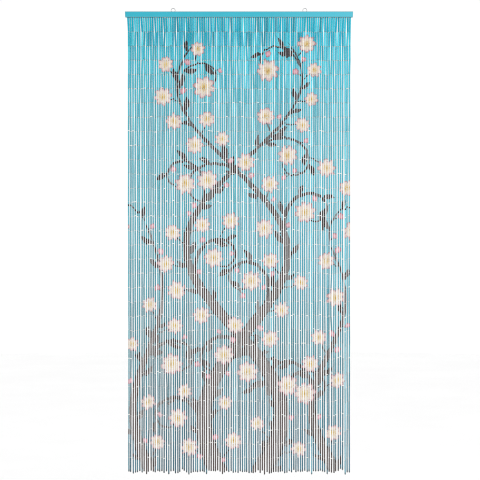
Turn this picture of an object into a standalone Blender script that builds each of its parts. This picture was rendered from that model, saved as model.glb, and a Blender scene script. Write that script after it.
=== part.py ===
"""Bamboo bead fly curtain: a painted wooden header on two screw eyes, and 100 strands of cane beads under it.

The row frame is in metres with +Z up and the front facing -Y. Its origin lies midway between the two screw
eyes, at the height where their wire rests on a pair of hooks, so all but the tops of the eyes is below it.
"""

import math
import random

import bmesh
import bpy
from mathutils import Matrix, Vector

MM = 0.001
GAP = 0.3 * MM  # left between two pieces that touch

# Header bar, painted softwood
HEADER_LENGTH = 990 * MM
HEADER_HEIGHT = 25 * MM
HEADER_DEPTH = 16 * MM
HEADER_UNDERCUT = 1.5 * MM  # both ends are sawn back by this much at the bottom edge
HEADER_ROUNDING = 1.5 * MM

# Screw eyes in the header's top edge
EYE_SPACING = 572 * MM
EYE_WIRE = 2.2 * MM
EYE_OUTER = 20 * MM
EYE_SUNK = 4.5 * MM  # the ring's foot is driven this far into a slot in the header's top edge
EYE_RISE = EYE_OUTER / 2 - EYE_SUNK  # from the header's top edge to the ring's centre
EYE_SCREW_DEPTH = 16 * MM
EYE_SHANK = 0.98 * EYE_WIRE  # a touch thinner than the ring's wire, so that no two faces coincide
EYE_RING_STEPS = 24
EYE_WIRE_STEPS = 8
EYE_HOLE_STEPS = 16
EYE_SLOT_STEPS = 48

# Strands
STRAND_COUNT = 100
STRAND_PITCH = 9.68 * MM
HEADER_PITCH = 9.74 * MM  # the strands are hung a little wider than they fall
BEAD_ROWS = 32
BEAD_LENGTH = 60.7 * MM
BEAD_LENGTH_SPREAD = 0.9 * MM
JOINT_LENGTH = 0.9 * MM
JOINT_LENGTH_SPREAD = 0.2 * MM
TOP_JOINT = 1.4 * MM  # from the header's underside to the first bead, at the least
TOP_JOINT_SPREAD = 1.2 * MM
THIN_CANE = 5.8 * MM
THICK_CANE_EXTRA = 2.9 * MM  # the first row's canes are this much thicker
CANE_FADE_ROWS = 12.0
CANE_SPREAD = 0.025
STRAND_CLEARANCE = 0.35 * MM
LARGEST_SIDESTEP = 0.12 * MM  # of a bead's top from the foot of the bead above it
APART_SWEEPS = 40
SEED = 7

# How canes lean together in clusters, most of all in the upper rows
FIRST_CLUSTERS = (3, 4, 5, 6, 8)  # canes in a cluster of the first row
LATER_CLUSTERS = (2, 3, 3, 4, 5)
CLUSTER_PULL = 1.0  # share of the room between canes that the lean takes up
CLUSTER_FADE_ROWS = 2.5
LEAST_PULL = 0.05 * MM

# How a strand wanders from the plumb line, row by row
SWAY_KEPT = 0.93  # share of the sideways wander that goes on to the next row
SWAY_SPREAD = 0.28 * MM
FOOT_SPREAD = 0.2 * MM
DEPTH_KEPT = 0.6
DEPTH_SPREAD = 0.45 * MM

# The strip that joins the strands' roots under the header
STRIP_LENGTH = 970 * MM
STRIP_THICKNESS = 1.0 * MM
STRIP_DEPTH = 3.0 * MM
ROOT_WIDTH = 2.4 * MM
SLICE_TOLERANCE = 1e-7
DOWNWARD = -0.9  # a face whose normal's z is below this looks down

# Heights of the fixed parts, from the origin down
EYE_INNER_RADIUS = EYE_OUTER / 2 - EYE_WIRE
EYE_CENTRE_Z = -EYE_INNER_RADIUS
HEADER_TOP_Z = EYE_CENTRE_Z - EYE_RISE
HEADER_BOTTOM_Z = HEADER_TOP_Z - HEADER_HEIGHT

# A strand that bows aside over a few rows, as a finger or a draught leaves it
BOWS = (
    # strand, first row, last row, sideways
    (91, 18, 20, -3.2 * MM),
    (17, 25, 27, 2.2 * MM),
    (9, 29, 31, -1.8 * MM),
    (47, 12, 14, 1.6 * MM),
)

# Rows whose top and foot a strand's solid follows, with whole stretches between
STEPPED_ROWS = (0, 1, 2)
PLAIN_STATIONS = (5, 10, 16, 24)


def cane_diameter(row):
    """The mean diameter of a row's canes."""
    return THIN_CANE + THICK_CANE_EXTRA * math.exp(-row / CANE_FADE_ROWS)


def clipped(rng, spread, limit=2.0):
    """A normal draw that stays within limit times its spread."""
    return max(-limit, min(limit, rng.gauss(0, 1))) * spread


def cluster_shifts(rng, row):
    """Canes in the upper rows lean together in clusters: a sideways shift for each strand of one row."""
    slack = STRAND_PITCH - cane_diameter(row) - STRAND_CLEARANCE
    pull = CLUSTER_PULL * max(0.0, slack) * math.exp(-row / CLUSTER_FADE_ROWS) + LEAST_PULL
    shifts = []
    while len(shifts) < STRAND_COUNT:
        size = rng.choice(FIRST_CLUSTERS if row == 0 else LATER_CLUSTERS)
        shifts += [-(member - (size - 1) / 2) * pull for member in range(size)]
    return shifts[:STRAND_COUNT]


def keep_apart(places, widths):
    """Moves neighbours apart where they would touch, half each, in a few sweeps."""
    for _ in range(APART_SWEEPS):
        for i in range(len(places) - 1):
            wanted = (widths[i] + widths[i + 1]) / 2 + STRAND_CLEARANCE
            short = wanted - (places[i + 1] - places[i])
            if short > 0:
                places[i] -= short / 2
                places[i + 1] += short / 2
    return places


def strand_plan():
    """For every strand a list of its beads from the top down, each (top point, foot point, diameter)."""
    rng = random.Random(SEED)
    top = HEADER_BOTTOM_Z - TOP_JOINT
    heights = [top - abs(clipped(rng, TOP_JOINT_SPREAD)) for _ in range(STRAND_COUNT)]
    sways = [0.0] * STRAND_COUNT
    depths = [0.0] * STRAND_COUNT
    feet = [(i - (STRAND_COUNT - 1) / 2) * HEADER_PITCH for i in range(STRAND_COUNT)]
    strands = [[] for _ in range(STRAND_COUNT)]
    for row in range(BEAD_ROWS):
        widths = [
            cane_diameter(row) * (1 + clipped(rng, CANE_SPREAD)) for _ in range(STRAND_COUNT)
        ]
        shifts = cluster_shifts(rng, row)
        targets = []
        for i in range(STRAND_COUNT):
            sways[i] = SWAY_KEPT * sways[i] + clipped(rng, SWAY_SPREAD)
            targets.append((i - (STRAND_COUNT - 1) / 2) * STRAND_PITCH + shifts[i] + sways[i])
        for strand, first, last, sideways in BOWS:
            if first <= row <= last:
                targets[strand] += sideways
        tops = [
            foot + max(-LARGEST_SIDESTEP, min(LARGEST_SIDESTEP, target - foot))
            for foot, target in zip(feet, targets)
        ]
        tops = keep_apart(tops, widths)
        feet = keep_apart([target + clipped(rng, FOOT_SPREAD) for target in targets], widths)
        for i in range(STRAND_COUNT):
            length = BEAD_LENGTH + clipped(rng, BEAD_LENGTH_SPREAD)
            joint = JOINT_LENGTH + clipped(rng, JOINT_LENGTH_SPREAD)
            top = Vector((tops[i], depths[i], heights[i]))
            depths[i] = DEPTH_KEPT * depths[i] + clipped(rng, DEPTH_SPREAD)
            foot = Vector((feet[i], depths[i], heights[i] - length))
            strands[i].append((top, foot, widths[i]))
            heights[i] -= length + joint
    return strands


def material(name, hex_colour, roughness, metallic=0.0):
    """A Principled material from an sRGB hex colour."""
    channels = [int(hex_colour[k : k + 2], 16) / 255 for k in (0, 2, 4)]
    linear = [c / 12.92 if c <= 0.04045 else ((c + 0.055) / 1.055) ** 2.4 for c in channels]
    made = bpy.data.materials.new(name)
    made.use_nodes = True
    shader = made.node_tree.nodes["Principled BSDF"]
    shader.inputs["Base Color"].default_value = (*linear, 1.0)
    shader.inputs["Roughness"].default_value = roughness
    shader.inputs["Metallic"].default_value = metallic
    made.diffuse_color = (*linear, 1.0)
    return made


def new_collection(name):
    made = bpy.data.collections.new(name)
    bpy.context.scene.collection.children.link(made)
    return made


def take(name, collection, finish=None):
    """Names the active object, moves it to its collection and gives it its material."""
    obj = bpy.context.object
    obj.name = name
    obj.data.name = name
    for old in obj.users_collection:
        old.objects.unlink(obj)
    collection.objects.link(obj)
    if finish:
        obj.data.materials.append(finish)
    return obj


def add_boolean(obj, operation, other):
    modifier = obj.modifiers.new(operation.lower(), "BOOLEAN")
    modifier.operation = operation
    modifier.solver = "EXACT"
    modifier.object = other


def make_guide(obj):
    obj.hide_render = True
    obj.display_type = "WIRE"
    return obj


def build_header(parts, guides, paint):
    """The wooden bar, with undercut ends, soft edges, and a hole and a slot for each screw eye."""
    bpy.ops.mesh.primitive_cube_add(size=1)
    header = take("header", parts, paint)
    header.data.transform(Matrix.Diagonal((HEADER_LENGTH, HEADER_DEPTH, HEADER_HEIGHT, 1)))
    for vertex in header.data.vertices:
        if vertex.co.z < 0:
            vertex.co.x -= math.copysign(HEADER_UNDERCUT, vertex.co.x)
    header.location.z = (HEADER_TOP_Z + HEADER_BOTTOM_Z) / 2
    bevel = header.modifiers.new("soft edges", "BEVEL")
    bevel.width = HEADER_ROUNDING
    bevel.segments = 3
    for side in (-1, 1):
        bpy.ops.mesh.primitive_cylinder_add(
            vertices=EYE_HOLE_STEPS,
            radius=EYE_WIRE / 2 + GAP,
            depth=2 * (EYE_SCREW_DEPTH + GAP),
            location=(side * EYE_SPACING / 2, 0, HEADER_TOP_Z),
        )
        add_boolean(header, "DIFFERENCE", make_guide(take(f"eye_hole_{side}", guides)))
        bpy.ops.mesh.primitive_cylinder_add(
            vertices=EYE_SLOT_STEPS,
            radius=EYE_OUTER / 2 + GAP,
            depth=EYE_WIRE + 2 * GAP,
            location=(side * EYE_SPACING / 2, 0, EYE_CENTRE_Z),
            rotation=(math.pi / 2, 0, 0),
        )
        add_boolean(header, "DIFFERENCE", make_guide(take(f"eye_slot_{side}", guides)))
    return header


def build_eye(side_name, side, parts, guides, steel):
    """A screw eye: a wire ring in the plane of the curtain, on a shank sunk in the header's top edge."""
    place = Vector((side * EYE_SPACING / 2, 0, EYE_CENTRE_Z))
    bpy.ops.mesh.primitive_torus_add(
        major_radius=(EYE_OUTER - EYE_WIRE) / 2,
        minor_radius=EYE_WIRE / 2,
        major_segments=EYE_RING_STEPS,
        minor_segments=EYE_WIRE_STEPS,
        rotation=(math.pi / 2, 0, 0),
    )
    eye = take(f"eye_{side_name}", parts, steel)
    eye.location = place
    ring_foot = EYE_CENTRE_Z - (EYE_OUTER - EYE_WIRE) / 2
    shank_foot = HEADER_TOP_Z - EYE_SCREW_DEPTH
    bpy.ops.mesh.primitive_cylinder_add(
        vertices=EYE_WIRE_STEPS,
        radius=EYE_SHANK / 2,
        depth=ring_foot - shank_foot,
        location=(place.x, 0, (ring_foot + shank_foot) / 2),
        rotation=(0, 0, math.pi / EYE_WIRE_STEPS / 2),
    )
    add_boolean(eye, "UNION", make_guide(take(f"eye_shank_{side_name}", guides)))
    return eye


def strand_stations(beads):
    """The levels that one strand's solid passes through, each (centre, width)."""
    stations = []
    for row in STEPPED_ROWS:
        top, foot, width = beads[row]
        stations += [(top, width), (foot, width)]
    for row in PLAIN_STATIONS:
        top, _, width = beads[row]
        stations.append((top, width))
    _, foot, width = beads[-1]
    stations.append((foot, width))
    return stations


def build_strands(parts, paint):
    """The strip under the header, with every strand drawn down out of its own root on its underside."""
    strip_top = HEADER_BOTTOM_Z - GAP
    strip_foot = strip_top - STRIP_THICKNESS
    mesh = bpy.data.meshes.new("strands")
    bm = bmesh.new()
    bmesh.ops.create_cube(bm, size=1)
    size = Vector((STRIP_LENGTH, STRIP_DEPTH, STRIP_THICKNESS))
    bmesh.ops.scale(bm, vec=size, verts=bm.verts)
    bmesh.ops.translate(bm, vec=(0, 0, (strip_top + strip_foot) / 2), verts=bm.verts)
    roots = [(i - (STRAND_COUNT - 1) / 2) * HEADER_PITCH for i in range(STRAND_COUNT)]
    for x in roots:
        for side in (-1, 1):
            bmesh.ops.bisect_plane(
                bm,
                geom=bm.verts[:] + bm.edges[:] + bm.faces[:],
                dist=SLICE_TOLERANCE,
                plane_co=(x + side * ROOT_WIDTH / 2, 0, 0),
                plane_no=(1, 0, 0),
            )
    underside = [face for face in bm.faces if face.normal.z < DOWNWARD]
    underside.sort(key=lambda face: face.calc_center_median().x)
    root_cells = underside[1::2]  # the cells between them are the strip's own underside
    for face, beads in zip(root_cells, strand_plan()):
        for centre, width in strand_stations(beads):
            before = face.calc_center_median()
            face = bmesh.ops.extrude_discrete_faces(bm, faces=[face])["faces"][0]
            for vertex in face.verts:
                side_x = math.copysign(width / 2, vertex.co.x - before.x)
                side_y = math.copysign(width / 2, vertex.co.y - before.y)
                vertex.co = centre + Vector((side_x, side_y, 0))
    bmesh.ops.recalc_face_normals(bm, faces=bm.faces)
    bm.to_mesh(mesh)
    bm.free()
    mesh.materials.append(paint)
    strands = bpy.data.objects.new("strands", mesh)
    parts.objects.link(strands)
    return strands


def main():
    for obj in list(bpy.data.objects):
        bpy.data.objects.remove(obj)
    parts = new_collection("fly_curtain")
    guides = new_collection("cutters_and_guides")
    header_paint = material("turquoise_painted_wood", "45BAD1", 0.45)
    cane_paint = material("turquoise_painted_cane", "56A5B3", 0.5)
    steel = material("zinc_plated_steel", "A9ABA8", 0.35, 1.0)
    build_header(parts, guides, header_paint)
    build_eye("left", -1, parts, guides, steel)
    build_eye("right", 1, parts, guides, steel)
    build_strands(parts, cane_paint)


main()
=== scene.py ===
# Bamboo bead fly curtain: the looks of its painted bar, screw eyes, cane beads and wire links.
# Metres, +Z up, painted front towards -Y. The origin lies between the screw eyes, where they hang on hooks.
import math
import random
from functools import partial

import bmesh
import bpy
import numpy as np
from mathutils import Matrix, Vector
from mathutils.geometry import interpolate_bezier


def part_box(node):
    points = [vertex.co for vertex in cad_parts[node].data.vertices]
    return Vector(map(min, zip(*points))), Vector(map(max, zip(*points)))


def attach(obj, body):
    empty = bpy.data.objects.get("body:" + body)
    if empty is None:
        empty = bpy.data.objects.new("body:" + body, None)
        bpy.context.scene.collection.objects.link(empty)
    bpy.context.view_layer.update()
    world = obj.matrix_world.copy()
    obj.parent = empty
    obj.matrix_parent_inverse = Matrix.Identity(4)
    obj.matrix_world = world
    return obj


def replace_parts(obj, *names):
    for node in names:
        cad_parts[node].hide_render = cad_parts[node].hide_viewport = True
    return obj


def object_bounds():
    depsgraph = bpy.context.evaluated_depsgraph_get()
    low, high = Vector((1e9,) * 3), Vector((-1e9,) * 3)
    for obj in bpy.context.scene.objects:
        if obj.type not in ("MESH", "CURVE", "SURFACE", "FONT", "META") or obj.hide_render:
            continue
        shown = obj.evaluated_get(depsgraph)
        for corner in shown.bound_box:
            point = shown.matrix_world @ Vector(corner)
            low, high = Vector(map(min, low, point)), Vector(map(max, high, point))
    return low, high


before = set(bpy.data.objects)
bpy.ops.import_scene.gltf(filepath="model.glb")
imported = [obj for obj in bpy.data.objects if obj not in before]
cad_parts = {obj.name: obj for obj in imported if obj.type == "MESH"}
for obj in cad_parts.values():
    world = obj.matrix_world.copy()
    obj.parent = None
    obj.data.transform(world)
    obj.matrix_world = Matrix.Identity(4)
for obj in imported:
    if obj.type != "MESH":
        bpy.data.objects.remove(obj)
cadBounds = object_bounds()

mm = 0.001
headerLow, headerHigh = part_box("header")


def paint(hexColour):
    # sRGB hex to the linear colour that Blender's sockets take
    channels = [int(hexColour[k : k + 2], 16) / 255 for k in (0, 2, 4)]
    return [c / 12.92 if c <= 0.04045 else ((c + 0.055) / 1.055) ** 2.4 for c in channels] + [1.0]


def setInputs(node, inputs):
    # an input is a number, a hex colour or the socket that feeds it; From and To hold a pair, for Min and Max
    for socket, value in inputs.items():
        if socket in ("From", "To"):
            setInputs(node, {socket + " Min": value[0], socket + " Max": value[1]})
        elif isinstance(value, bpy.types.NodeSocket):
            node.id_data.links.new(value, node.inputs[socket])
        else:
            node.inputs[socket].default_value = paint(value) if isinstance(value, str) else value


def addNode(tree, kind, inputs=None, operation=None, stops=None, out=0, **settings):
    # one node with its settings, for the output of that name or number, or for all its outputs if out is None
    node = tree.nodes.new("ShaderNode" + kind)
    if operation:
        node.operation = operation
    for name, setting in settings.items():
        setattr(node, name, setting)
    setInputs(node, inputs or {})
    if stops:
        ramp = node.color_ramp
        while len(ramp.elements) < len(stops):
            ramp.elements.new(1.0)
        for element, (position, hexColour) in zip(ramp.elements, stops):
            element.position = position
            element.color = paint(hexColour)
    return node.outputs[:] if out is None else node.outputs[out]


inColour = {"data_type": "RGBA", "out": 2}  # for a Mix node


def startMaterial(name):
    # a material, what adds nodes to it, its shader and the place on the piece that patterns read
    material = bpy.data.materials.new(name)
    material.use_nodes = True
    add = partial(addNode, material.node_tree)
    return material, add, material.node_tree.nodes["Principled BSDF"], add("TexCoord", out="Object")


# Camera and light

view = {
    "distance": 6.0,
    "photoWidth": 480 * 4.342 * mm,  # what the picture spans in the curtain's plane
    "middle": (4.3 * mm, -1004.7 * mm),  # x and z at the middle of the picture
    "sensor": 36.0,
    "pixelFilter": 1.12,  # the photograph is crisp: every strand is a line of its own
}


def placeCamera():
    scene = bpy.context.scene
    camera = bpy.data.objects.new("camera", bpy.data.cameras.new("camera"))
    camera.data.sensor_width = view["sensor"]
    camera.data.lens = view["sensor"] * view["distance"] / view["photoWidth"]
    camera.location = (view["middle"][0], -view["distance"], view["middle"][1])
    camera.rotation_euler = (math.pi / 2, 0, 0)
    scene.collection.objects.link(camera)
    scene.camera = camera
    scene.cycles.filter_width = view["pixelFilter"]


studio = {
    "skyStrength": 1.01,
    "floorGap": 0.6,  # between floor and lowest cane, so that the curtain leaves no shade in the picture
    "floorRadius": 14.0,
    "floorTones": ((0.3, "FBFBFB"), (0.7, "FEFEFE")),
    "floorClouds": 1.3,  # to a metre
    "lights": (
        # name, place, size, watts
        ("key", (1.2, -5.6, -0.3), 2.2, 54.0),
        ("side", (3.2, -3.3, 0.8), 1.8, 34.0),
    ),
}


def lightStudio(lowest):
    scene = bpy.context.scene
    scene.view_settings.view_transform = "Standard"
    world = bpy.data.worlds.new("white studio")
    world.use_nodes = True
    setInputs(world.node_tree.nodes["Background"], {"Color": "FFFFFF", "Strength": studio["skyStrength"]})
    scene.world = world
    middle = Vector((0, 0, view["middle"][1]))
    for name, place, size, watts in studio["lights"]:
        light = bpy.data.lights.new(name, "AREA")
        light.shape = "DISK"
        light.size = size
        light.energy = watts
        lamp = bpy.data.objects.new(name, light)
        lamp.location = place
        lamp.rotation_euler = (middle - lamp.location).to_track_quat("-Z", "Y").to_euler()
        lamp.visible_camera = False
        scene.collection.objects.link(lamp)
    bm = bmesh.new()
    bmesh.ops.create_circle(bm, cap_ends=True, segments=64, radius=studio["floorRadius"])
    bmesh.ops.translate(bm, vec=(0, 0, lowest - studio["floorGap"]), verts=bm.verts)
    floor = finishMesh(bm, "floor", mattWhiteFloor())


def mattWhiteFloor():
    # matt white paint: gives the light back evenly, with a barely uneven sheen
    material, add, shader, place = startMaterial("matt white floor paint")
    cloud = add("TexNoise", {"Vector": place, "Scale": studio["floorClouds"], "Detail": 3.0})
    tone = add("ValToRGB", {0: cloud}, stops=studio["floorTones"])
    setInputs(shader, {"Base Color": tone, "Roughness": 0.8})
    return material


def finishPiece(name, mesh, materials, sharpAngle=40):
    for material in materials:
        mesh.materials.append(material)
    mesh.shade_smooth()
    mesh.set_sharp_from_angle(angle=math.radians(sharpAngle))
    piece = bpy.data.objects.new(name, mesh)
    bpy.context.scene.collection.objects.link(piece)
    return piece


def finishMesh(bm, name, material):
    mesh = bpy.data.meshes.new(name)
    bm.to_mesh(mesh)
    bm.free()
    return finishPiece(name, mesh, [material])


# How the strands hang: the same draws, in the same order, as the solids of the frame were made from

strands = {
    "count": 100,
    "pitch": 9.68 * mm,
    "pitchAtHeader": 9.74 * mm,  # hung a little wider than they fall
    "rows": 32,
    "caneLength": 60.7 * mm,
    "caneLengthSpread": 0.9 * mm,
    "joint": 0.9 * mm,
    "jointSpread": 0.2 * mm,
    "topJoint": 1.4 * mm,  # from the bar's underside to the first cane, at the least
    "topJointSpread": 1.2 * mm,
    "topReach": 0.7 * mm,  # how far the first canes reach up into the strip that the solids share
    "thinCane": 5.8 * mm,
    "thickExtra": 2.9 * mm,  # how much thicker the first row's canes are
    "thickFade": 12.0,  # in rows
    "diameterSpread": 0.025,
    "clearance": 0.35 * mm,
    "sidestep": 0.12 * mm,  # the most that a cane's top is off the foot of the cane above
    "apartSweeps": 40,
    "seed": 7,
    "firstClusters": (3, 4, 5, 6, 8),
    "laterClusters": (2, 3, 3, 4, 5),
    "clusterFade": 2.5,
    "leastPull": 0.05 * mm,
    "swayKept": 0.93,
    "swaySpread": 0.28 * mm,
    "footSpread": 0.2 * mm,
    "depthKept": 0.6,
    "depthSpread": 0.45 * mm,
    "bows": (
        # strand, first row, last row, sideways
        (91, 18, 20, -3.2 * mm),
        (17, 25, 27, 2.2 * mm),
        (9, 29, 31, -1.8 * mm),
        (47, 12, 14, 1.6 * mm),
    ),
}


def caneDiameter(row):
    return strands["thinCane"] + strands["thickExtra"] * math.exp(-row / strands["thickFade"])


def clippedDraw(draw, spread):
    return max(-2.0, min(2.0, draw.gauss(0, 1))) * spread


def strandX(number, pitch):
    return (number - (strands["count"] - 1) / 2) * pitch


def clusterShifts(draw, row):
    # canes of the upper rows lean together in clusters
    room = strands["pitch"] - caneDiameter(row) - strands["clearance"]
    fade = math.exp(-row / strands["clusterFade"])
    pull = max(0.0, room) * fade + strands["leastPull"]
    sizes = strands["firstClusters"] if row == 0 else strands["laterClusters"]
    shifts = []
    while len(shifts) < strands["count"]:
        size = draw.choice(sizes)
        shifts += [-(member - (size - 1) / 2) * pull for member in range(size)]
    return shifts[: strands["count"]]


def keepApart(places, widths):
    for _ in range(strands["apartSweeps"]):
        for i in range(len(places) - 1):
            short = (widths[i] + widths[i + 1]) / 2 + strands["clearance"] - (places[i + 1] - places[i])
            if short > 0:
                places[i] -= short / 2
                places[i + 1] += short / 2
    return places


def hangStrands():
    # for each strand its canes from the top down, each (top point, foot point, diameter)
    draw = random.Random(strands["seed"])
    count = strands["count"]
    highest = headerLow.z - strands["topJoint"]
    heights = [highest - abs(clippedDraw(draw, strands["topJointSpread"])) for _ in range(count)]
    sways = [0.0] * count
    depths = [0.0] * count
    feet = [strandX(i, strands["pitchAtHeader"]) for i in range(count)]
    hung = [[] for _ in range(count)]
    for row in range(strands["rows"]):
        spread = strands["diameterSpread"]
        widths = [caneDiameter(row) * (1 + clippedDraw(draw, spread)) for _ in range(count)]
        shifts = clusterShifts(draw, row)
        targets = []
        for i in range(count):
            sways[i] = strands["swayKept"] * sways[i] + clippedDraw(draw, strands["swaySpread"])
            targets.append(strandX(i, strands["pitch"]) + shifts[i] + sways[i])
        for strand, first, last, sideways in strands["bows"]:
            if first <= row <= last:
                targets[strand] += sideways
        step = strands["sidestep"]
        tops = [foot + max(-step, min(step, target - foot)) for foot, target in zip(feet, targets)]
        tops = keepApart(tops, widths)
        feet = keepApart([target + clippedDraw(draw, strands["footSpread"]) for target in targets], widths)
        for i in range(count):
            length = strands["caneLength"] + clippedDraw(draw, strands["caneLengthSpread"])
            joint = strands["joint"] + clippedDraw(draw, strands["jointSpread"])
            top = Vector((tops[i], depths[i], heights[i]))
            depths[i] = strands["depthKept"] * depths[i] + clippedDraw(draw, strands["depthSpread"])
            foot = Vector((feet[i], depths[i], heights[i] - length))
            if row == 0:
                top.z = (highest + top.z) / 2 + strands["topReach"]
            hung[i].append((top, foot, widths[i]))
            heights[i] -= length + joint
    return hung


# The painted ornament: four winding vines with curled tendrils, daisies, buds and leaves. Millimetres.

ornament = {
    "seed": 31,
    "foot": -2045.0,
    "top": -100.0,
    "edge": 482.0,
    "thinVine": 3.4,  # half widths
    "taper": 1.6,
    "ripple": (18.0, 7.0),  # a lesser swing of the vines, and its angle over their height in radians
    "vines": (
        # middle, swing at the foot, swing at the top, windings, phase, top, half width at the foot
        (0, -150, -285, 1.3, 0.5, -140, 40.0),
        (0, 150, 285, 1.3, 0.5, -140, 40.0),
        (-392, 62, 50, 1.1, 2.6, -900, 24.0),
        (392, 62, 50, 1.1, 2.6, -1010, 24.0),
    ),
    "tendrils": (
        # for each vine: share of the way up, side that it turns to, length
        ((0.12, 1, 470), (0.25, -1, 480), (0.385, 1, 520), (0.56, -1, 500), (0.70, 1, 520), (0.86, -1, 400)),
        ((0.17, -1, 450), (0.30, 1, 480), (0.44, -1, 520), (0.62, 1, 470), (0.76, -1, 500), (0.93, 1, 330)),
        ((0.45, -1, 420), (0.97, 1, 420)),
        ((0.35, 1, 430), (0.97, -1, 420)),
    ),
    "curl": (210.0, 40.0),  # radius of a tendril's bend at the vine and at its tip
    "tendrilLean": 0.1,
    "tendrilWidth": (0.6, 1.5, 10.0, 2.6),  # share of the vine's and more, most, and at the tip; half widths
    "daisyRadius": (31.0, 42.0),
    "tendrilDaisyRadius": (42.0, 49.0),
    "daisyStride": (12, 17),  # points from daisy to daisy along a vine and along a tendril
    "daisyFree": (14, 12),  # points without daisies at a stem's foot and at its tip
    "daisyAboveFoot": 80.0,
    "daisyLean": (0.7, 1.1),
    "daisyRoom": 40.0,
    "stalkLength": (55, 95),
    "stalk": (900.0, 300.0, 3.4, 2.2),  # bend at the stem and at the tip, half width there and there
    "budRadius": (10.0, 14.0),
    "budShare": 0.35,  # of the places for leaves
    "budStalk": (400.0, 200.0, 2.6, 1.8),
    "leafLength": (46.0, 66.0),
    "leafStride": 13,
    "leafFree": 8,
    "leafLean": 0.85,
    "leafBend": (160.0, 110.0),
    "leafPlumpness": 0.19,  # half width as a share of the length
    "leafRoom": 15.0,
    "step": 4.0,
}


def windingVine(middle, swingFoot, swingTop, windings, phase, top, thick):
    # points (x, z, half width) from the foot up
    foot = ornament["foot"]
    count = int((top - foot) / ornament["step"])
    ripple, ripples = ornament["ripple"]
    points = []
    for k in range(count + 1):
        up = k / count
        swing = swingFoot + (swingTop - swingFoot) * up
        x = middle + swing * math.sin(2 * math.pi * windings * up + phase)
        x += ripple * math.sin(ripples * up + middle)
        width = ornament["thinVine"] + thick * (1 - up) ** ornament["taper"]
        points.append((x, foot + up * (top - foot), width))
    return points


def ahead(x, z, heading, reach):
    return x + math.cos(heading) * reach, z + math.sin(heading) * reach


def bentStroke(start, heading, side, length, loose, tight, startWidth, endWidth):
    # leaves start at a heading and bends to one side, ever tighter
    x, z = start
    step = ornament["step"]
    count = int(length / step)
    points = []
    for k in range(count + 1):
        along = k / count
        points.append((x, z, startWidth + (endWidth - startWidth) * along))
        heading += side * step * (1 / loose + (1 / tight - 1 / loose) * along**1.5)
        x, z = ahead(x, z, heading, step)
    return points


def headingAt(points, k):
    (x0, z0, _), (x1, z1, _) = points[max(k - 2, 0)], points[min(k + 2, len(points) - 1)]
    return math.atan2(z1 - z0, x1 - x0)


def drawOrnament():
    # vines and twigs are lists of (x, z, half width), flowers are (x, z, radius, turn, -1 for a bud)
    draw = random.Random(ornament["seed"])
    edge, foot, top = ornament["edge"], ornament["foot"] + ornament["daisyAboveFoot"], ornament["top"]
    free, freeTip = ornament["daisyFree"]
    vines = [windingVine(*row) for row in ornament["vines"]]
    curls, shoots, leaves, flowers = [], [], [], []

    def isClear(x, z, gap):
        return all(math.hypot(x - flower[0], z - flower[1]) > gap + flower[2] for flower in flowers)

    def addDaisy(x, z, radius):
        flowers.append((x, z, radius, draw.uniform(0, 6.28), draw.random()))

    widthShare, more, widest, tip = ornament["tendrilWidth"]
    for vine, row in zip(vines, ornament["tendrils"]):
        for share, side, length in row:
            at = int(share * (len(vine) - 1))
            x, z, width = vine[at]
            heading = headingAt(vine, at) + ornament["tendrilLean"] * side
            thick = min(widthShare * width + more, widest)
            curl = bentStroke((x, z), heading, side, length, *ornament["curl"], thick, tip)
            curls.append(curl)
            addDaisy(curl[-1][0], curl[-1][1], draw.uniform(*ornament["tendrilDaisyRadius"]))
    for number, stem in enumerate(vines + curls):
        stride = ornament["daisyStride"][number >= len(vines)]
        sideways = 1 if number % 2 else -1
        for k in range(free, len(stem) - freeTip, stride):
            x, z, width = stem[k]
            radius = draw.uniform(*ornament["daisyRadius"])
            lean = headingAt(stem, k) + sideways * draw.uniform(*ornament["daisyLean"])
            reach = width + draw.uniform(*ornament["stalkLength"])
            fx, fz = ahead(x, z, lean, reach)
            inside = abs(fx) < edge - 0.3 * radius and foot < fz < top
            if inside and isClear(fx, fz, radius + ornament["daisyRoom"]):
                shoots.append(bentStroke((x, z), lean, sideways, reach, *ornament["stalk"]))
                addDaisy(fx, fz, radius)
            sideways = -sideways
    for stem in vines + curls:
        sideways = -1
        for k in range(ornament["leafFree"], len(stem) - ornament["leafFree"], ornament["leafStride"]):
            x, z, width = stem[k]
            lean = headingAt(stem, k) + sideways * ornament["leafLean"]
            length = draw.uniform(*ornament["leafLength"])
            base = 0.8 * width
            lx, lz = ahead(x, z, lean, base + length / 2)
            sideways = -sideways
            if not isClear(lx, lz, ornament["leafRoom"]) or abs(lx) > edge:
                continue
            if draw.random() < ornament["budShare"]:
                flowers.append((lx, lz, draw.uniform(*ornament["budRadius"]), 0.0, -1.0))
                shoots.append(bentStroke((x, z), lean, sideways, base + length / 2, *ornament["budStalk"]))
            else:
                start = ahead(x, z, lean, base)
                plump = ornament["leafPlumpness"] * length
                leaves.append(bentStroke(start, lean, sideways, length, *ornament["leafBend"], plump, plump))
    return vines, curls + shoots + leaves, flowers


# How a stroke or a flower is laid on each cane. Every point of a cane gets its place in the strokes' and
# flowers' own measure, straight from end to end of a cane, and the paint's nodes draw the form from that.

brush = {
    "strokeSlots": 3,  # the most vines, and the most twigs, that one cane can carry
    "flowerSlots": 3,
    "strokeMeasures": ("Across", "Bend", "Taper"),
    "flowerMeasures": ("daisyRight", "daisyUp", "daisyKind"),
    "window": 14,  # points of a stroke that count as one crossing
    "middleFirst": 0.04,  # how much a crossing near the cane's middle is preferred
    "strokeReach": (1.3, 8.0),  # a stroke marks the canes this near: so many half widths and millimetres
    "flowerReach": 8.0,
    "shortStroke": 160.0,  # a stroke shorter than this is a lens, such as a leaf or a flower's stalk
    "lensReach": 0.54,
    "tipReach": 90.0,  # a long stroke runs to a point over this length
    "tipNear": 60.0,
    # how far a strand hangs off its place in the painting, and a cane off its strand's: sideways, then up
    "slips": ((0.8, 0.3), (2.0, 1.1)),
    "empty": 9.0,
}


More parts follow.
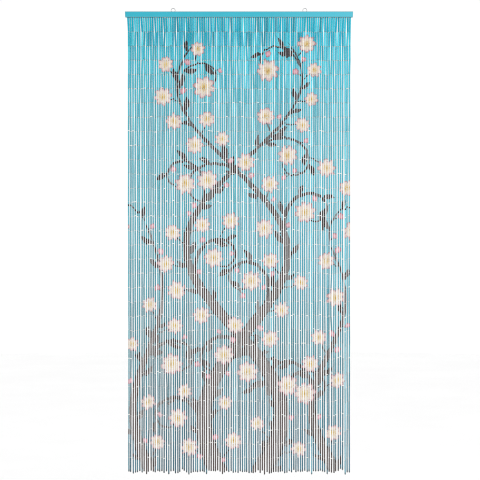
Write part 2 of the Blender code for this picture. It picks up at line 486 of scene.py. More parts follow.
def measureStroke(points):
    # for each point: x, z, tangent x and z, bend, half width, swell, where its taper is centred and
    # 1 / taper length
    place = np.array(points)
    step = np.gradient(place[:, :2], axis=0)
    length = np.linalg.norm(step, axis=1)
    tangent = step / length[:, None]
    bend = np.gradient(np.unwrap(np.arctan2(tangent[:, 1], tangent[:, 0]))) / length
    swell = np.gradient(place[:, 2]) / length
    along = np.concatenate([[0.0], np.cumsum(np.linalg.norm(np.diff(place[:, :2], axis=0), axis=1))])
    whole = along[-1]
    centre = np.zeros(len(place))
    narrow = np.zeros(len(place))
    if whole < brush["shortStroke"]:
        centre[:] = whole / 2 - along
        narrow[:] = 1 / (brush["lensReach"] * whole)
    else:
        tip = brush["tipReach"]
        nearStart = along < brush["tipNear"]
        nearEnd = whole - along < brush["tipNear"]
        centre[nearStart] = tip - along[nearStart]
        centre[nearEnd] = whole - along[nearEnd] - tip
        narrow[nearStart | nearEnd] = 1 / tip
    return np.column_stack([place[:, :2], tangent, bend, place[:, 2], swell, centre, narrow])


def awayFromCanes(canes, points):
    # distance in millimetres from each cane's axis to each point; canes are (x, top, foot)
    dx = points[None, :, 0] - canes[:, None, 0]
    dz = np.maximum(points[None, :, 1] - canes[:, None, 1], canes[:, None, 2] - points[None, :, 1])
    return np.hypot(dx, np.maximum(dz, 0.0))


def strokesOnCanes(canes, strokes):
    # the strokes that come nearest to each cane, as rows of one table
    table, found, start = [], [], 0
    middle = (canes[:, 1] + canes[:, 2]) / 2
    widths, more = brush["strokeReach"]
    for points in strokes:
        rows = measureStroke(points)
        away = awayFromCanes(canes, rows)
        away += brush["middleFirst"] * np.abs(rows[None, :, 1] - middle[:, None])
        for _ in range(brush["strokeSlots"]):
            nearest = away.argmin(1)
            best = away[np.arange(len(canes)), nearest]
            close = np.nonzero(best < widths * rows[nearest, 5] + more)[0]
            for cane in close:
                found.append((cane, best[cane] / rows[nearest[cane], 5], start + nearest[cane]))
            columns = np.arange(len(rows))
            away = np.where(np.abs(columns[None] - nearest[:, None]) < brush["window"], np.inf, away)
            if not np.isfinite(away).any():
                break
        table.append(rows)
        start += len(rows)
    slots = np.full((len(canes), brush["strokeSlots"]), -1)
    filled = np.zeros(len(canes), int)
    for cane, _, row in sorted(found):
        if filled[cane] < brush["strokeSlots"]:
            slots[cane, filled[cane]] = row
            filled[cane] += 1
    return np.concatenate(table), slots


def flowersOnCanes(canes, flowers):
    table = np.array(flowers)
    away = awayFromCanes(canes, table) - table[None, :, 2]
    order = np.argsort(away, axis=1)[:, : brush["flowerSlots"]]
    slots = np.where(np.take_along_axis(away, order, 1) < brush["flowerReach"], order, -1)
    return table, slots


def strokeCoordinates(x, z, table, slots):
    # across, bend and taper of each slot's stroke at every point; x and z are (cane, point) in millimetres
    rows = table[slots][:, None]
    dx = x[:, :, None] - rows[..., 0]
    dz = z[:, :, None] - rows[..., 1]
    along = dx * rows[..., 2] + dz * rows[..., 3]
    side = np.where(rows[..., 4] < 0, -1, 1)
    off = side * (dz * rows[..., 2] - dx * rows[..., 3])
    width = np.maximum(1.0, rows[..., 5] + rows[..., 6] * along)
    used = (slots >= 0)[:, None]
    across = np.where(used, off / width, brush["empty"])
    bend = np.where(used, along * np.sqrt(np.abs(rows[..., 4]) / (2 * width)), 0.0)
    taper = np.where(used, (along - rows[..., 7]) * rows[..., 8], 0.0)
    return across, bend, taper


def flowerCoordinates(x, z, table, slots):
    rows = table[slots][:, None]
    dx = (x[:, :, None] - rows[..., 0]) / rows[..., 2]
    dz = (z[:, :, None] - rows[..., 1]) / rows[..., 2]
    cos, sin = np.cos(rows[..., 3]), np.sin(rows[..., 3])
    used = (slots >= 0)[:, None]
    right = np.where(used, dx * cos + dz * sin, brush["empty"])
    up = np.where(used, dz * cos - dx * sin, brush["empty"])
    kind = np.where(used, np.broadcast_to(rows[..., 4], right.shape), 0.0)
    return right, up, kind


# One cane, made once and repeated

cane = {
    "sides": 8,
    "fullness": 1.025,  # so that eight flats look as wide as the round cane
    "chamfer": 0.3 * mm,
    "bore": 2.6 * mm,
    "boreDepth": 2.8 * mm,
    "oval": 0.03,
    "taper": 0.03,
    "bowSideways": 0.1 * mm,
    "bowInDepth": 0.5 * mm,
    "strandTone": 0.19,  # how much the paint's tone differs from strand to strand
    "caneTone": (0.07, 0.44, 4.0),  # and from cane to cane: low down, more at the top, fading in these rows
    "firstRowsFade": 1.5,  # in rows
    # where on its map the bore's floor ends, and where its wall, the sawn end and the painted side start
    "mapShares": (0.03, 0.035, 0.07, 0.10),
    "mapInset": (0.03, 0.01),
    "strandsInPiece": 10,
    "seed": 41,
}


def makeCane():
    # upright about the origin, with a ring at half height, sawn ends and the mouths of its bore
    radius = cane["fullness"] * strands["thinCane"] / 2
    bm = bmesh.new()
    bmesh.ops.create_cone(
        bm, cap_ends=True, segments=cane["sides"], radius1=radius, radius2=radius, depth=strands["caneLength"]
    )
    rims = [edge for edge in bm.edges if abs(edge.verts[0].co.z - edge.verts[1].co.z) < 1e-6]
    bmesh.ops.bevel(
        bm, geom=rims, offset=cane["chamfer"], affect="EDGES", segments=1, profile=0.5, material=-1
    )
    bmesh.ops.bisect_plane(
        bm, geom=bm.verts[:] + bm.edges[:] + bm.faces[:], plane_co=(0, 0, 0), plane_no=(0, 0, 1)
    )
    rim = (radius - cane["chamfer"]) - cane["bore"] / 2
    for up in (1, -1):
        end = max(bm.faces, key=lambda face: up * face.calc_center_median().z)
        before = set(bm.faces)
        bmesh.ops.inset_individual(bm, faces=[end], thickness=rim * math.cos(math.pi / cane["sides"]))
        ring = [face for face in bm.faces if face not in before]
        mouth = bmesh.ops.extrude_discrete_faces(bm, faces=[end])["faces"]
        bmesh.ops.translate(bm, vec=(0, 0, -up * cane["boreDepth"]), verts=mouth[0].verts)
        walls = [face for face in bm.faces if face not in before and face not in ring]
        for face in ring + walls:
            face.material_index = 1
    bmesh.ops.recalc_face_normals(bm, faces=bm.faces)
    bm.verts.index_update()
    return bm


def unrollCane(bm):
    # a flat rectangle for each cane: round the cane across, from the lower bore to the upper one along
    radius = cane["fullness"] * strands["thinCane"] / 2
    half = strands["caneLength"] / 2
    bore = cane["bore"] / 2
    floor, wall, sawnEnd, side = cane["mapShares"]
    layer = bm.loops.layers.uv.new("OFBake")
    for face in bm.faces:
        middle = face.calc_center_median()
        centreAngle = math.atan2(middle.y, middle.x)
        for loop in face.loops:
            spot = loop.vert.co
            turn = (math.atan2(spot.y, spot.x) - centreAngle + math.pi) % (2 * math.pi) - math.pi
            across = (centreAngle + turn) / (2 * math.pi) + 0.5
            deep = half - abs(spot.z)
            if abs(middle.x) + abs(middle.y) < 1e-5:
                across = 0.5 + 0.4 * spot.x / bore
                along = floor * (0.6 + 0.4 * spot.y / bore)
            elif face.material_index == 0:
                along = side + (0.5 - side) * deep / half
            elif abs(face.normal.z) > 0.5:
                along = side - (side - sawnEnd) * (radius - spot.xy.length) / (radius - bore)
            else:
                along = sawnEnd - (sawnEnd - wall) * deep / cane["boreDepth"]
            loop[layer].uv = (across, along if middle.z < 0 else 1 - along)
    return layer


def shapeOf(bm, layer=None):
    # a bmesh as arrays, to be repeated
    corners, starts, finish, flat = [], [], [], []
    for face in bm.faces:
        starts.append(len(corners))
        corners += [vert.index for vert in face.verts]
        finish.append(face.material_index)
        if layer:
            flat += [loop[layer].uv[:] for loop in face.loops]
    shape = {
        "points": np.array([vert.co[:] for vert in bm.verts]),
        "corners": np.array(corners),
        "starts": np.array(starts),
        "finish": np.array(finish),
        "map": np.array(flat),
    }
    bm.free()
    return shape


def joinCopies(name, shape, points, materials, flatMap=None, measures=None, sharpAngle=40):
    # one mesh of many copies of a shape; points are (copy, point, 3)
    copies, each = points.shape[:2]
    turn = np.arange(copies)[:, None]
    mesh = bpy.data.meshes.new(name)
    mesh.vertices.add(copies * each)
    mesh.vertices.foreach_set("co", points.astype(np.float32).ravel())
    mesh.loops.add(copies * len(shape["corners"]))
    mesh.loops.foreach_set("vertex_index", (shape["corners"] + turn * each).astype(np.int32).ravel())
    mesh.polygons.add(copies * len(shape["starts"]))
    starts = shape["starts"] + turn * len(shape["corners"])
    mesh.polygons.foreach_set("loop_start", starts.astype(np.int32).ravel())
    mesh.polygons.foreach_set("material_index", np.tile(shape["finish"], copies).astype(np.int32))
    mesh.update(calc_edges=True)
    if flatMap is not None:
        mesh.uv_layers.new(name="OFBake").uv.foreach_set("vector", flatMap.astype(np.float32).ravel())
    for label, values in (measures or {}).items():
        attribute = mesh.attributes.new(label, "FLOAT_VECTOR", "POINT")
        attribute.data.foreach_set("vector", values.astype(np.float32).ravel())
    return finishPiece(name, mesh, materials, sharpAngle)


def cutCanes(hung, vines, twigs, flowers):
    # all the canes, some strands to a piece, with what the paint on them needs to know; vines, twigs and
    # flowers are each a table and the rows of it that every cane needs
    chance = np.random.default_rng(cane["seed"])
    bm = makeCane()
    shape = shapeOf(bm, unrollCane(bm))
    local = shape["points"]
    share = local[:, 2] / strands["caneLength"] + 0.5
    bulge = 4 * share * (1 - share)
    perPiece, rows = cane["strandsInPiece"], strands["rows"]
    count = perPiece * rows
    row = np.tile(np.arange(rows), perPiece)
    strandOf = np.repeat(np.arange(perPiece), rows)
    inset = np.array(cane["mapInset"])
    box = np.stack([row, strandOf], 1)[:, None]
    flatMap = (box + inset + (1 - 2 * inset) * shape["map"]) / (rows, perPiece)
    lowest, more, fade = cane["caneTone"]
    lastFoot = (row == rows - 1)[:, None] * (1 - 2 * share).clip(0, 1)
    firstRows = np.exp(-row / cane["firstRowsFade"])
    materials = [turquoisePaintedCane(), sawnCane()]
    for first in range(0, strands["count"], perPiece):
        canes = [entry for strand in hung[first : first + perPiece] for entry in strand]
        tops, feet, widths = [np.array([entry[k] for entry in canes]) for k in range(3)]
        turn = chance.uniform(0, 2 * math.pi, count)[:, None]
        oval = chance.uniform(0, cane["oval"], count)[:, None]
        taper = 1 + chance.normal(0, cane["taper"] / 2, count)[:, None] * (2 * share - 1)
        cos, sin = np.cos(turn), np.sin(turn)
        wide = widths[:, None] / strands["thinCane"] * taper
        across = (local[:, 0] * cos - local[:, 1] * sin) * wide * (1 - oval)
        deep = (local[:, 0] * sin + local[:, 1] * cos) * wide * (1 + oval)
        across += chance.uniform(-1, 1, count)[:, None] * cane["bowSideways"] * bulge
        deep += chance.uniform(-1, 1, count)[:, None] * cane["bowInDepth"] * bulge
        points = feet[:, None] + (tops - feet)[:, None] * share[:, None]
        points[..., 0] += across
        points[..., 1] += deep

        slipX, slipZ = [
            chance.normal(0, strandSlip, perPiece)[strandOf] + chance.normal(0, caneSlip, count)
            for strandSlip, caneSlip in brush["slips"]
        ]
        x = points[..., 0] / mm + slipX[:, None]
        z = points[..., 2] / mm + slipZ[:, None]
        tone = chance.normal(0, 1, count) * (lowest + more * np.exp(-row / fade))
        tone += chance.normal(0, cane["strandTone"], perPiece)[strandOf]
        seed = chance.uniform(0, 1, count)
        measures = {
            "canePlace": np.stack(np.broadcast_arrays(share, tone.clip(-1, 1)[:, None], seed[:, None]), 2),
            "caneEnds": np.stack(np.broadcast_arrays(lastFoot, firstRows[:, None], 0.0), 2),
        }
        mine = slice(first * rows, first * rows + count)
        for stroke, (table, slots) in (("vine", vines), ("twig", twigs)):
            laid = strokeCoordinates(x, z, table, slots[mine])
            measures.update((stroke + label, values) for label, values in zip(brush["strokeMeasures"], laid))
        laid = flowerCoordinates(x, z, flowers[0], flowers[1][mine])
        measures.update(zip(brush["flowerMeasures"], laid))
        name = f"cane_strands_{first + 1:03d}_{first + perPiece:03d}"
        piece = joinCopies(name, shape, points, materials, flatMap, measures)
        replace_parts(piece, "strands")
        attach(piece, "root")


wire = {
    "gauge": 0.6 * mm,
    "ringWidth": 1.5 * mm,  # between the middles of the wire
    "ringSteps": 8,
    "gaugeSteps": 4,
    "sunk": 1.6 * mm,  # how far an eye starts inside its cane's bore
    "endEye": 2.6 * mm,  # how far the last eye hangs below its strand
    "twist": 0.3,  # how far off a right angle two eyes meet
    "strandsInPiece": 20,
    "seed": 5,
}


def makeWireEye():
    # a round eye in the XZ plane, to be drawn out to its length
    bm = bmesh.new()
    onRing = Matrix.Translation((wire["ringWidth"] / 2, 0, 0)) @ Matrix.Rotation(math.pi / 4, 4, "Z")
    matrix = Matrix.Rotation(math.pi / wire["ringSteps"], 4, "Y") @ onRing
    bmesh.ops.create_circle(bm, segments=wire["gaugeSteps"], radius=wire["gauge"] / 2, matrix=matrix)
    bmesh.ops.spin(
        bm, geom=bm.verts[:] + bm.edges[:], cent=(0, 0, 0), axis=(0, 1, 0), dvec=(0, 0, 0),
        angle=2 * math.pi, steps=wire["ringSteps"], use_merge=True, use_duplicate=False,
    )
    bmesh.ops.remove_doubles(bm, verts=bm.verts, dist=1e-6)
    bmesh.ops.recalc_face_normals(bm, faces=bm.faces)
    bm.verts.index_update()
    return shapeOf(bm)


def bendWireEyes(name, eyes, shape, zinc):
    # eyes are (where it leaves the cane, where it meets the next eye, turn about its own length)
    roots, meets, turns = [np.array([eye[k] for eye in eyes]) for k in range(3)]
    turns = turns[:, None]
    reach = np.linalg.norm(roots - meets, axis=1, keepdims=True)
    up = (roots - meets) / reach
    flat = np.concatenate([np.cos(turns), np.sin(turns), np.zeros_like(turns)], 1)
    flat -= up * (flat * up).sum(1, keepdims=True)
    flat /= np.linalg.norm(flat, axis=1, keepdims=True)
    normal = np.cross(up, flat)
    high = roots + up * wire["sunk"]
    low = meets - up * wire["gauge"] / 2
    stretch = (reach + wire["sunk"] + wire["gauge"] / 2 - wire["ringWidth"]) / 2
    local = shape["points"]
    drawnOut = local[:, 2] + np.sign(local[:, 2]) * np.maximum(stretch, 0)
    points = ((high + low) / 2)[:, None] + drawnOut[:, :, None] * up[:, None]
    points += local[:, :1] * flat[:, None] + local[:, 1:2] * normal[:, None]
    piece = joinCopies(name, shape, points, [zinc], sharpAngle=80)
    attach(piece, "root")
    return piece


def linkCanes(hung, zinc):
    # every cane's wire ends in two eyes, each hooked into the next cane's at a right angle
    chance = random.Random(wire["seed"])
    shape = makeWireEye()
    twist = wire["twist"]
    headerEyes, eyes = [], [[] for _ in hung]
    for number, canes in enumerate(hung):
        above = Vector((strandX(number, strands["pitchAtHeader"]), 0, headerLow.z))
        for row, (top, foot, _) in enumerate(canes):
            meet = (above + top) / 2
            turn = chance.uniform(0, math.pi)
            (eyes[number] if row else headerEyes).append((above, meet, turn))
            eyes[number].append((top, meet, turn + math.pi / 2 + chance.uniform(-twist, twist)))
            above = foot
        eyes[number].append((above, above - Vector((0, 0, wire["endEye"])), chance.uniform(0, math.pi)))
    bendWireEyes("header_wire_eyes", headerEyes, shape, zinc)
    perPiece = wire["strandsInPiece"]
    for first in range(0, strands["count"], perPiece):
        name = f"wire_links_{first + 1:03d}_{first + perPiece:03d}"
        several = [eye for strand in eyes[first : first + perPiece] for eye in strand]
        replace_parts(bendWireEyes(name, several, shape, zinc), "strands")


# The two screw eyes, each one wire bent round and down into the bar

screwEye = {
    "gauge": 2.2 * mm,
    "opening": 22,  # degrees between the wire's free end and its shank
    "bendStart": 244,  # degrees round the ring where the wire leaves it for the shank
    "bendDrop": 1.1,  # how far below the ring's foot the bend ends, in gauges
    "bendEase": 0.45,  # how softly the wire bends, as a share of the way
    "shankDepth": 16 * mm,
    "steps": 40,
    "bendSteps": 7,
    "gaugeSteps": 12,
    "rim": 0.3 * mm,
}


def bendScrewEye(node, zinc):
    low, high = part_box(node)
    gauge = screwEye["gauge"]
    ringRadius = (high.x - low.x - gauge) / 2
    centre = Vector(((low.x + high.x) / 2, 0, high.z - gauge / 2 - ringRadius))
    start = math.radians(screwEye["opening"] - 90)
    end = math.radians(screwEye["bendStart"])
    depth = Vector((0, 1, 0))
    path = []
    for k in range(screwEye["steps"] + 1):
        angle = start + (end - start) * k / screwEye["steps"]
        path.append(centre + Vector((math.cos(angle), 0, math.sin(angle))) * ringRadius)
    shankTop = centre - Vector((0, 0, ringRadius + screwEye["bendDrop"] * gauge))
    ease = screwEye["bendEase"] * (shankTop - path[-1]).length
    leaving = path[-1] + Vector((-math.sin(end), 0, math.cos(end))) * ease
    arriving = shankTop + Vector((0, 0, ease))
    path += interpolate_bezier(path[-1], leaving, arriving, shankTop, screwEye["bendSteps"] + 1)[1:]
    path.append(Vector((centre.x, 0, headerHigh.z - screwEye["shankDepth"])))

    bm = bmesh.new()
    rings = []
    for k, spot in enumerate(path):
        along = (path[min(k + 1, len(path) - 1)] - path[max(k - 1, 0)]).normalized()
        turned = Matrix((depth.cross(along), depth, along)).transposed().to_4x4()
        matrix = Matrix.Translation(spot) @ turned
        isEnd = k in (0, len(path) - 1)
        ring = bmesh.ops.create_circle(
            bm, segments=screwEye["gaugeSteps"], radius=gauge / 2, matrix=matrix, cap_ends=isEnd
        )["verts"]
        rings.append(list({edge for vert in ring for edge in vert.link_edges}))
    for one, other in zip(rings, rings[1:]):
        bmesh.ops.bridge_loops(bm, edges=one + other)
    ends = [face for face in bm.faces if len(face.verts) == screwEye["gaugeSteps"]]
    rims = list({edge for face in ends for edge in face.edges})
    bmesh.ops.bevel(
        bm, geom=rims, offset=screwEye["rim"], affect="EDGES", segments=2, profile=0.5, material=-1
    )
    bmesh.ops.recalc_face_normals(bm, faces=bm.faces)
    piece = finishMesh(bm, node.replace("eye", "screw_eye"), zinc)
    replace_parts(piece, node)
    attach(piece, "root")


# Finishes

turquoise = {
    # ground colours of the canes, from the foot of the curtain to its top
    "ground": (
        (0.06, "446977"), (0.27, "4D7D88"), (0.42, "4F919F"), (0.61, "54A0AE"), (0.775, "51A2B0"),
        (0.92, "36AEC0"), (0.955, "149DB3"), (0.985, "0AA2B8"),
    ),
    # where the brush left less, from the foot to the top
    "thinPaint": ((0.05, "8EC4D0"), (0.35, "84CCD8"), (0.65, "7CCCD8"), (0.95, "54C8D8"), (0.985, "48BECE")),
    "darkest": 0.66,  # how light the darkest canes are
    "hues": (0.495, 0.505),  # from cane to cane, 0.5 for the colour as it is
    # painted light, lighter to the right where the side lamp stands: how light the left and right edges are,
    # each at the foot and at the top, and where these edges lie
    "paintedSideLight": ((0.9, 0.95), (1.22, 1.04)),
    "paintedSideLightBetween": (-0.4, 0.4),
    # patterns are given by how many go to a metre
    "fibres": (0.95 / mm, 0.95 / mm, 0.024 / mm),  # 1 mm wide and 40 mm long, coarser than real, to show
    "fibreDepth": 0.12 * mm,
    "streaks": (0.86, 1.14),
    "patches": (0.06 / mm, 0.06 / mm, 0.034 / mm),  # 17 mm wide and 30 mm long
    "roughness": (0.42, 0.62),
    "wander": 0.11 / mm,  # a brush stroke's edge wanders over 9 mm
    "wobble": (-0.16, 0.16),  # and by so much of its half width
    "bark": (0.72, 1.3),
    "strokeEnds": (0.03, 0.03, 0.03),  # how thin a stroke runs out
    "strokeEdge": (1.06, 0.94),
    "strokeRim": (0.7, 0.88),
    "vine": ((0.0, "58514F"), (0.35, "504A48"), (0.6, "383636"), (1.0, "22262B")),
    "twig": ((0.0, "403B3A"), (0.35, "343130"), (1.0, "20242A")),
    "outline": "262422",
    "petals": 8,
    "petalNotches": (0.70, 1.0),  # how far out a daisy reaches between its petals and at their tips
    "petalWobble": 0.7,
    "petalEdge": (1.05, 0.97),
    "daisy": (
        (0.0, "AF8A4C"), (0.14, "C0A35F"), (0.24, "CBBC86"), (0.32, "C6A888"), (0.42, "CFC4AE"),
        (0.72, "CCBFB6"), (0.88, "C09C9E"), (1.0, "865A62"),
    ),
    "bud": ((0.0, "D4A8B0"), (0.6, "C08C98"), (1.0, "8E5866")),
    # darker cane ends: paint gathered there, and painted shade at the joints between canes
    "pooledPaintAndShadeFrom": (0.45, 0.49),  # from a cane's middle, in cane lengths
    "pooledPaintAndShade": (0.2, 0.06),  # how much darker the ends are, and those of the first row
    "primer": "E2E8E6",
    "chippedShare": 0.12,  # of the canes: knocks have chipped their feet to the primer
    "chippedLength": 2.6 * mm,
    "chippedBelow": (0.2, 0.01),  # in nearness to the first row: from row 3 to row 7
    "handledEnd": "4C4A48",
    "handledFrom": (0.55, 1.0),
    "mostShown": (0.0, 0.9),  # of primer and of hands' grey
}


def turquoisePaintedCane():
    # bamboo cane under thin brushed paint: fibres show through it as fine streaks, and no two canes are alike
    material, add, shader, place = startMaterial("thin turquoise paint on cane")
    sideways, _, height = add("SeparateXYZ", {0: place}, out=None)
    rise = add("MapRange", {"Value": height, "From": (cadBounds[0].z, headerLow.z)})
    canePlace = add("Attribute", out="Vector", attribute_name="canePlace")
    along, tone, seed = add("SeparateXYZ", {0: canePlace}, out=None)
    caneEnds = add("Attribute", out="Vector", attribute_name="caneEnds")
    lastFoot, firstRows, _ = add("SeparateXYZ", {0: caneEnds}, out=None)

    # each cane has its own fibres and patches
    apart = add("VectorMath", {0: canePlace, 1: (0.0, 3.1, 7.7)}, "MULTIPLY")
    grainPlace = add("VectorMath", {0: place, 1: apart}, "ADD")
    grains = []
    for scale in (turquoise["fibres"], turquoise["patches"]):
        scaled = add("VectorMath", {0: grainPlace, 1: scale}, "MULTIPLY")
        grains.append(add("TexNoise", {"Vector": scaled, "Scale": 1.0, "Detail": 2.0}))
    fibre, patch = grains

    # the ground, lighter or darker from cane to cane, and painted light that darkens it towards the left and
    # lightens it towards the right
    ground = add("ValToRGB", {0: rise}, stops=turquoise["ground"])
    thinPaint = add("ValToRGB", {0: rise}, stops=turquoise["thinPaint"])
    thin = add("MapRange", {"Value": tone})
    tinted = add("Mix", {"Factor": thin, 6: ground, 7: thinPaint}, **inColour)
    hue = add("MapRange", {"Value": seed, "To": turquoise["hues"]})
    dark = add("MapRange", {"Value": tone, "From": (-1.0, 0.0), "To": (turquoise["darkest"], 1.0)})
    # painted light: darker towards the left edge, lighter towards the right
    edges = [add("MapRange", {"Value": rise, "To": light}) for light in turquoise["paintedSideLight"]]
    paintedSideLight = add("MapRange", {"Value": sideways, "From": turquoise["paintedSideLightBetween"], "To": edges})
    light = add("Math", {0: dark, 1: paintedSideLight}, "MULTIPLY")
    colour = add("HueSaturation", {"Hue": hue, "Value": light, "Color": tinted})

    # the brush's edge wanders by a millimetre or two
    wander = add("TexNoise", {"Vector": place, "Scale": turquoise["wander"], "Detail": 1.0})
    wobble = add("MapRange", {"Value": wander, "To": turquoise["wobble"]})

    # twigs and leaves, and the vines over them: how far across the nearest stroke this point lies, 0 in its
    # middle and 1 at its edge
    bark = add("MapRange", {"Value": patch, "To": turquoise["bark"]})
    for stroke in ("twig", "vine"):
        across, bend, taper = [
            add("Attribute", out="Vector", attribute_name=stroke + label)
            for label in brush["strokeMeasures"]
        ]
        bent = add("VectorMath", {0: bend, 1: bend}, "MULTIPLY")
        off = add("VectorMath", {0: across, 1: bent}, "SUBTRACT")
        away = add("VectorMath", {0: off}, "ABSOLUTE")
        lost = add("VectorMath", {0: taper, 1: taper}, "MULTIPLY")
        kept = add("VectorMath", {0: (1.0, 1.0, 1.0), 1: lost}, "SUBTRACT")
        some = add("VectorMath", {0: kept, 1: turquoise["strokeEnds"]}, "MAXIMUM")
        shares = add("VectorMath", {0: away, 1: some}, "DIVIDE")
        nearest, *others = add("SeparateXYZ", {0: shares}, out=None)
        for other in others:
            nearest = add("Math", {0: nearest, 1: other}, "MINIMUM")
        edge = add("Math", {0: nearest, 1: wobble}, "ADD")
        onStem = add("MapRange", {"Value": edge, "From": turquoise["strokeEdge"]})
        atRim = add("MapRange", {"Value": edge, "From": turquoise["strokeRim"]})
        fill = add("ValToRGB", {0: rise}, stops=turquoise[stroke])
        mottled = add("HueSaturation", {"Value": bark, "Color": fill})
        stem = add("Mix", {"Factor": atRim, 6: mottled, 7: turquoise["outline"]}, **inColour)
        colour = add("Mix", {"Factor": onStem, 6: colour, 7: stem}, **inColour)

    # the daisies and buds on a cane
    measures = []
    for label in brush["flowerMeasures"]:
        measure = add("Attribute", out="Vector", attribute_name=label)
        measures.append(add("SeparateXYZ", {0: measure}, out=None))
    for right, up, kind in zip(*measures):
        flat = add("CombineXYZ", {0: right, 1: up})
        away = add("VectorMath", {0: flat}, "LENGTH", out="Value")
        angle = add("Math", {0: up, 1: right}, "ARCTAN2")
        waves = add("Math", {0: angle, 1: turquoise["petals"] / 2}, "MULTIPLY")
        wave = add("Math", {0: waves}, "COSINE")
        petal = add("Math", {0: wave}, "ABSOLUTE")
        reach = add("MapRange", {"Value": petal, "To": turquoise["petalNotches"]})
        isBud = add("Math", {0: kind, 1: 0.0}, "LESS_THAN")
        rounder = add("Math", {0: reach, 1: isBud}, "MAXIMUM")
        share = add("Math", {0: away, 1: rounder}, "DIVIDE")
        rim = add("Math", {0: wobble, 1: turquoise["petalWobble"], 2: share}, "MULTIPLY_ADD")
        daisy = add("ValToRGB", {0: rim}, stops=turquoise["daisy"])
        bud = add("ValToRGB", {0: rim}, stops=turquoise["bud"])
        flower = add("Mix", {"Factor": isBud, 6: daisy, 7: bud}, **inColour)
        onFlower = add("MapRange", {"Value": rim, "From": turquoise["petalEdge"]})
        colour = add("Mix", {"Factor": onFlower, 6: colour, 7: flower}, **inColour)

    # fibres show through the paint; the canes' ends are darker, from paint gathered there and from painted
    # shade at the joints, least in the first row
    streak = add("MapRange", {"Value": fibre, "To": turquoise["streaks"]})
    fromMiddle = add("Math", {0: along, 1: 0.5}, "SUBTRACT")
    toEnd = add("Math", {0: fromMiddle}, "ABSOLUTE")
    nearEnd = add("MapRange", {"Value": toEnd, "From": turquoise["pooledPaintAndShadeFrom"]})
    much = add("MapRange", {"Value": firstRows, "To": turquoise["pooledPaintAndShade"]})
    pooledPaintAndShade = add("Math", {0: nearEnd, 1: much}, "MULTIPLY")
    darker = add("Math", {0: 1.0, 1: pooledPaintAndShade}, "SUBTRACT")
    for light in (streak, darker):
        colour = add("HueSaturation", {"Value": light, "Color": colour})

    # some feet are chipped to the primer, below the top rows, and hands have greyed the curtain's hem
    chipTop = turquoise["chippedLength"] / strands["caneLength"]
    atFoot = add("MapRange", {"Value": along, "From": (1.15 * chipTop, 0.85 * chipTop)})
    isChipped = add("Math", {0: seed, 1: turquoise["chippedShare"]}, "LESS_THAN")
    below = {"Value": firstRows, "From": turquoise["chippedBelow"], "To": turquoise["mostShown"]}
    lowDown = add("MapRange", below)
    chippedFoot = add("Math", {0: atFoot, 1: isChipped}, "MULTIPLY")
    chipped = add("Math", {0: chippedFoot, 1: lowDown}, "MULTIPLY")
    handled = {"Value": lastFoot, "From": turquoise["handledFrom"], "To": turquoise["mostShown"]}
    greyed = add("MapRange", handled)
    for factor, over in ((chipped, "primer"), (greyed, "handledEnd")):
        colour = add("Mix", {"Factor": factor, 6: colour, 7: turquoise[over]}, **inColour)
    rough = add("MapRange", {"Value": patch, "To": turquoise["roughness"]})
    bump = add("Bump", {"Height": fibre, "Strength": 0.35, "Distance": turquoise["fibreDepth"]})
    setInputs(shader, {"Base Color": colour, "Roughness": rough, "Normal": bump})
    shader.inputs["Specular IOR Level"].default_value = 0.2
    return material


def sawnCane():
    # the sawn end of a cane: pale straw wood with darker pores half a millimetre apart, dry and rough
    material, add, shader, place = startMaterial("sawn cane")
    pores = add("TexVoronoi", {"Vector": place, "Scale": 1.9 / mm}, out="Distance")
    tone = add("ValToRGB", {0: pores}, stops=((0.0, "B79B6A"), (0.35, "DCCBA2"), (1.0, "EDE2C6")))
    setInputs(shader, {"Base Color": tone, "Roughness": 0.85})
    return material


def zincPlatedWire():
    # drawn steel wire, zinc plated: a pale cool grey metal with a soft shine, duller in patches of 2 mm
    material, add, shader, place = startMaterial("zinc plated wire")
    cloud = add("TexNoise", {"Vector": place, "Scale": 0.42 / mm, "Detail": 3.0})
    tone = add("ValToRGB", {0: cloud}, stops=((0.3, "7E8183"), (0.7, "A2A5A5")))
    rough = add("MapRange", {"Value": cloud, "To": (0.25, 0.5)})
    setInputs(shader, {"Base Color": tone, "Roughness": rough, "Metallic": 1.0})
    return material


header = {
    "paint": ((0.25, "0F9AAE"), (0.5, "16A0B4"), (0.75, "22A6BA")),
    "grain": (0.009 / mm, 0.26 / mm, 0.42 / mm),  # 110 mm long, 4 mm deep and 2.4 mm high
    "grainDepth": 0.15 * mm,
    "patches": 0.014 / mm,  # of 70 mm
    "patchShare": 0.4,  # of the tone, the rest is grain
    "roughness": (0.36, 0.52),
    # painted shade along the bar's edges: a greyer, darker teal
    "edgeShadePaint": "4A929E",
    "edgeShade": (4.4 * mm, 1.2 * mm),  # how far in from an edge the painted shade reaches, and where it is full
    "edgeShadeMost": 0.8,
    # a painted highlight, lighter towards the bar's right end
    "rightHighlightPaint": "4AAFC2",
    "rightHighlight": (0.1, 0.5),  # painted highlight: the paint is lighter from here towards the right end
    "rightHighlightMost": 0.6,
}


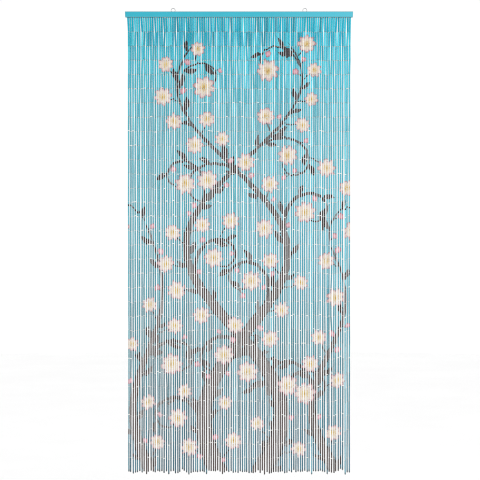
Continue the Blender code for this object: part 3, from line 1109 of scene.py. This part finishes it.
def satinPaintedPine():
    # planed pine under satin paint: long faint grain and brush marks along the bar, with painted shade
    # greying its edges and a painted highlight towards its right end
    material, add, shader, place = startMaterial("satin turquoise paint on pine")
    grainPlace = add("VectorMath", {0: place, 1: header["grain"]}, "MULTIPLY")
    grain = add("TexNoise", {"Vector": grainPlace, "Scale": 1.0, "Detail": 4.0})
    patch = add("TexNoise", {"Vector": place, "Scale": header["patches"], "Detail": 3.0})
    tone = add("Mix", {"Factor": header["patchShare"], 2: grain, 3: patch})
    colour = add("ValToRGB", {0: tone}, stops=header["paint"])
    middle = (headerLow + headerHigh) / 2
    fromMiddle = add("VectorMath", {0: place, 1: middle}, "SUBTRACT")
    outward = add("VectorMath", {0: fromMiddle}, "ABSOLUTE")
    outX, _, outZ = add("SeparateXYZ", {0: outward}, out=None)
    toEnd = add("Math", {0: headerHigh.x, 1: outX}, "SUBTRACT")
    toRim = add("Math", {0: headerHigh.z - middle.z, 1: outZ}, "SUBTRACT")
    toEdge = add("Math", {0: toEnd, 1: toRim}, "MINIMUM")
    sideways = add("SeparateXYZ", {0: place})
    # a painted highlight towards the right end, then painted shade along the edges
    for spot, change in ((sideways, "rightHighlight"), (toEdge, "edgeShade")):
        limits = {"Value": spot, "From": header[change], "To": (0.0, header[change + "Most"])}
        layers = {"Factor": add("MapRange", limits), 6: colour, 7: header[change + "Paint"]}
        colour = add("Mix", layers, **inColour)
    rough = add("MapRange", {"Value": patch, "To": header["roughness"]})
    bump = add("Bump", {"Height": grain, "Strength": 0.3, "Distance": header["grainDepth"]})
    setInputs(shader, {"Base Color": colour, "Roughness": rough, "Normal": bump})
    return material


placeCamera()
lightStudio(cadBounds[0].z)
print("curtain: camera, light and floor")

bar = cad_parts["header"].data
bar.materials.clear()
bar.materials.append(satinPaintedPine())
zincWire = zincPlatedWire()
for eyeNode in ("eye_left", "eye_right"):
    bendScrewEye(eyeNode, zincWire)
print("curtain: painted bar and two screw eyes")

hungStrands = hangStrands()
allCanes = [entry for strand in hungStrands for entry in strand]
caneLines = np.array([((top.x + foot.x) / 2, top.z, foot.z) for top, foot, _ in allCanes]) / mm
vineList, twigList, flowerList = drawOrnament()
vinesLaid = strokesOnCanes(caneLines, vineList)
twigsLaid = strokesOnCanes(caneLines, twigList)
flowersLaid = flowersOnCanes(caneLines, flowerList)
print("curtain:", len(vineList) + len(twigList), "painted strokes,", len(flowerList), "flowers and buds")

cutCanes(hungStrands, vinesLaid, twigsLaid, flowersLaid)
linkCanes(hungStrands, zincWire)
print("curtain:", len(caneLines), "canes and their wire eyes")
